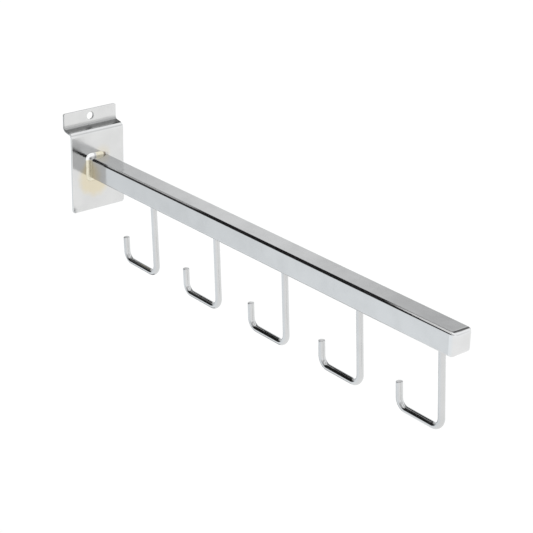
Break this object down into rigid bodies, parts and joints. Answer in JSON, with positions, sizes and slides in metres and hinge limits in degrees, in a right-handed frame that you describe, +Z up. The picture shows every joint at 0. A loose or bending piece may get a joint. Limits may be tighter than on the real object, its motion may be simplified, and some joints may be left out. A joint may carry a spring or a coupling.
{
  "type": "slatwall hook",
  "caption": "Straight square-tube display arm on a folded slot-hanging plate, with a row of bent wire hooks welded underneath.",
  "frame": {"origin": "back face of the plate, on the centreline of the arm", "axes": "+Z up, +Y into the wall, arm along -Y"},
  "size_m": [0.05, 0.4218, 0.1163],
  "materials": {
    "plate": "polished chrome plate on folded steel sheet",
    "arm": "polished chrome plate on square steel tube",
    "wire": "polished chrome plate on steel wire",
    "seam": "pale brazed seam"
  },
  "bodies": {
    "root": {"arm_tube": "arm", "arm_weld": "seam", "backplate": "plate", "end_cap": "arm", "hook_1": "wire", "hook_2": "wire", "hook_3": "wire", "hook_4": "wire", "hook_5": "wire"}
  },
  "joints": []
}
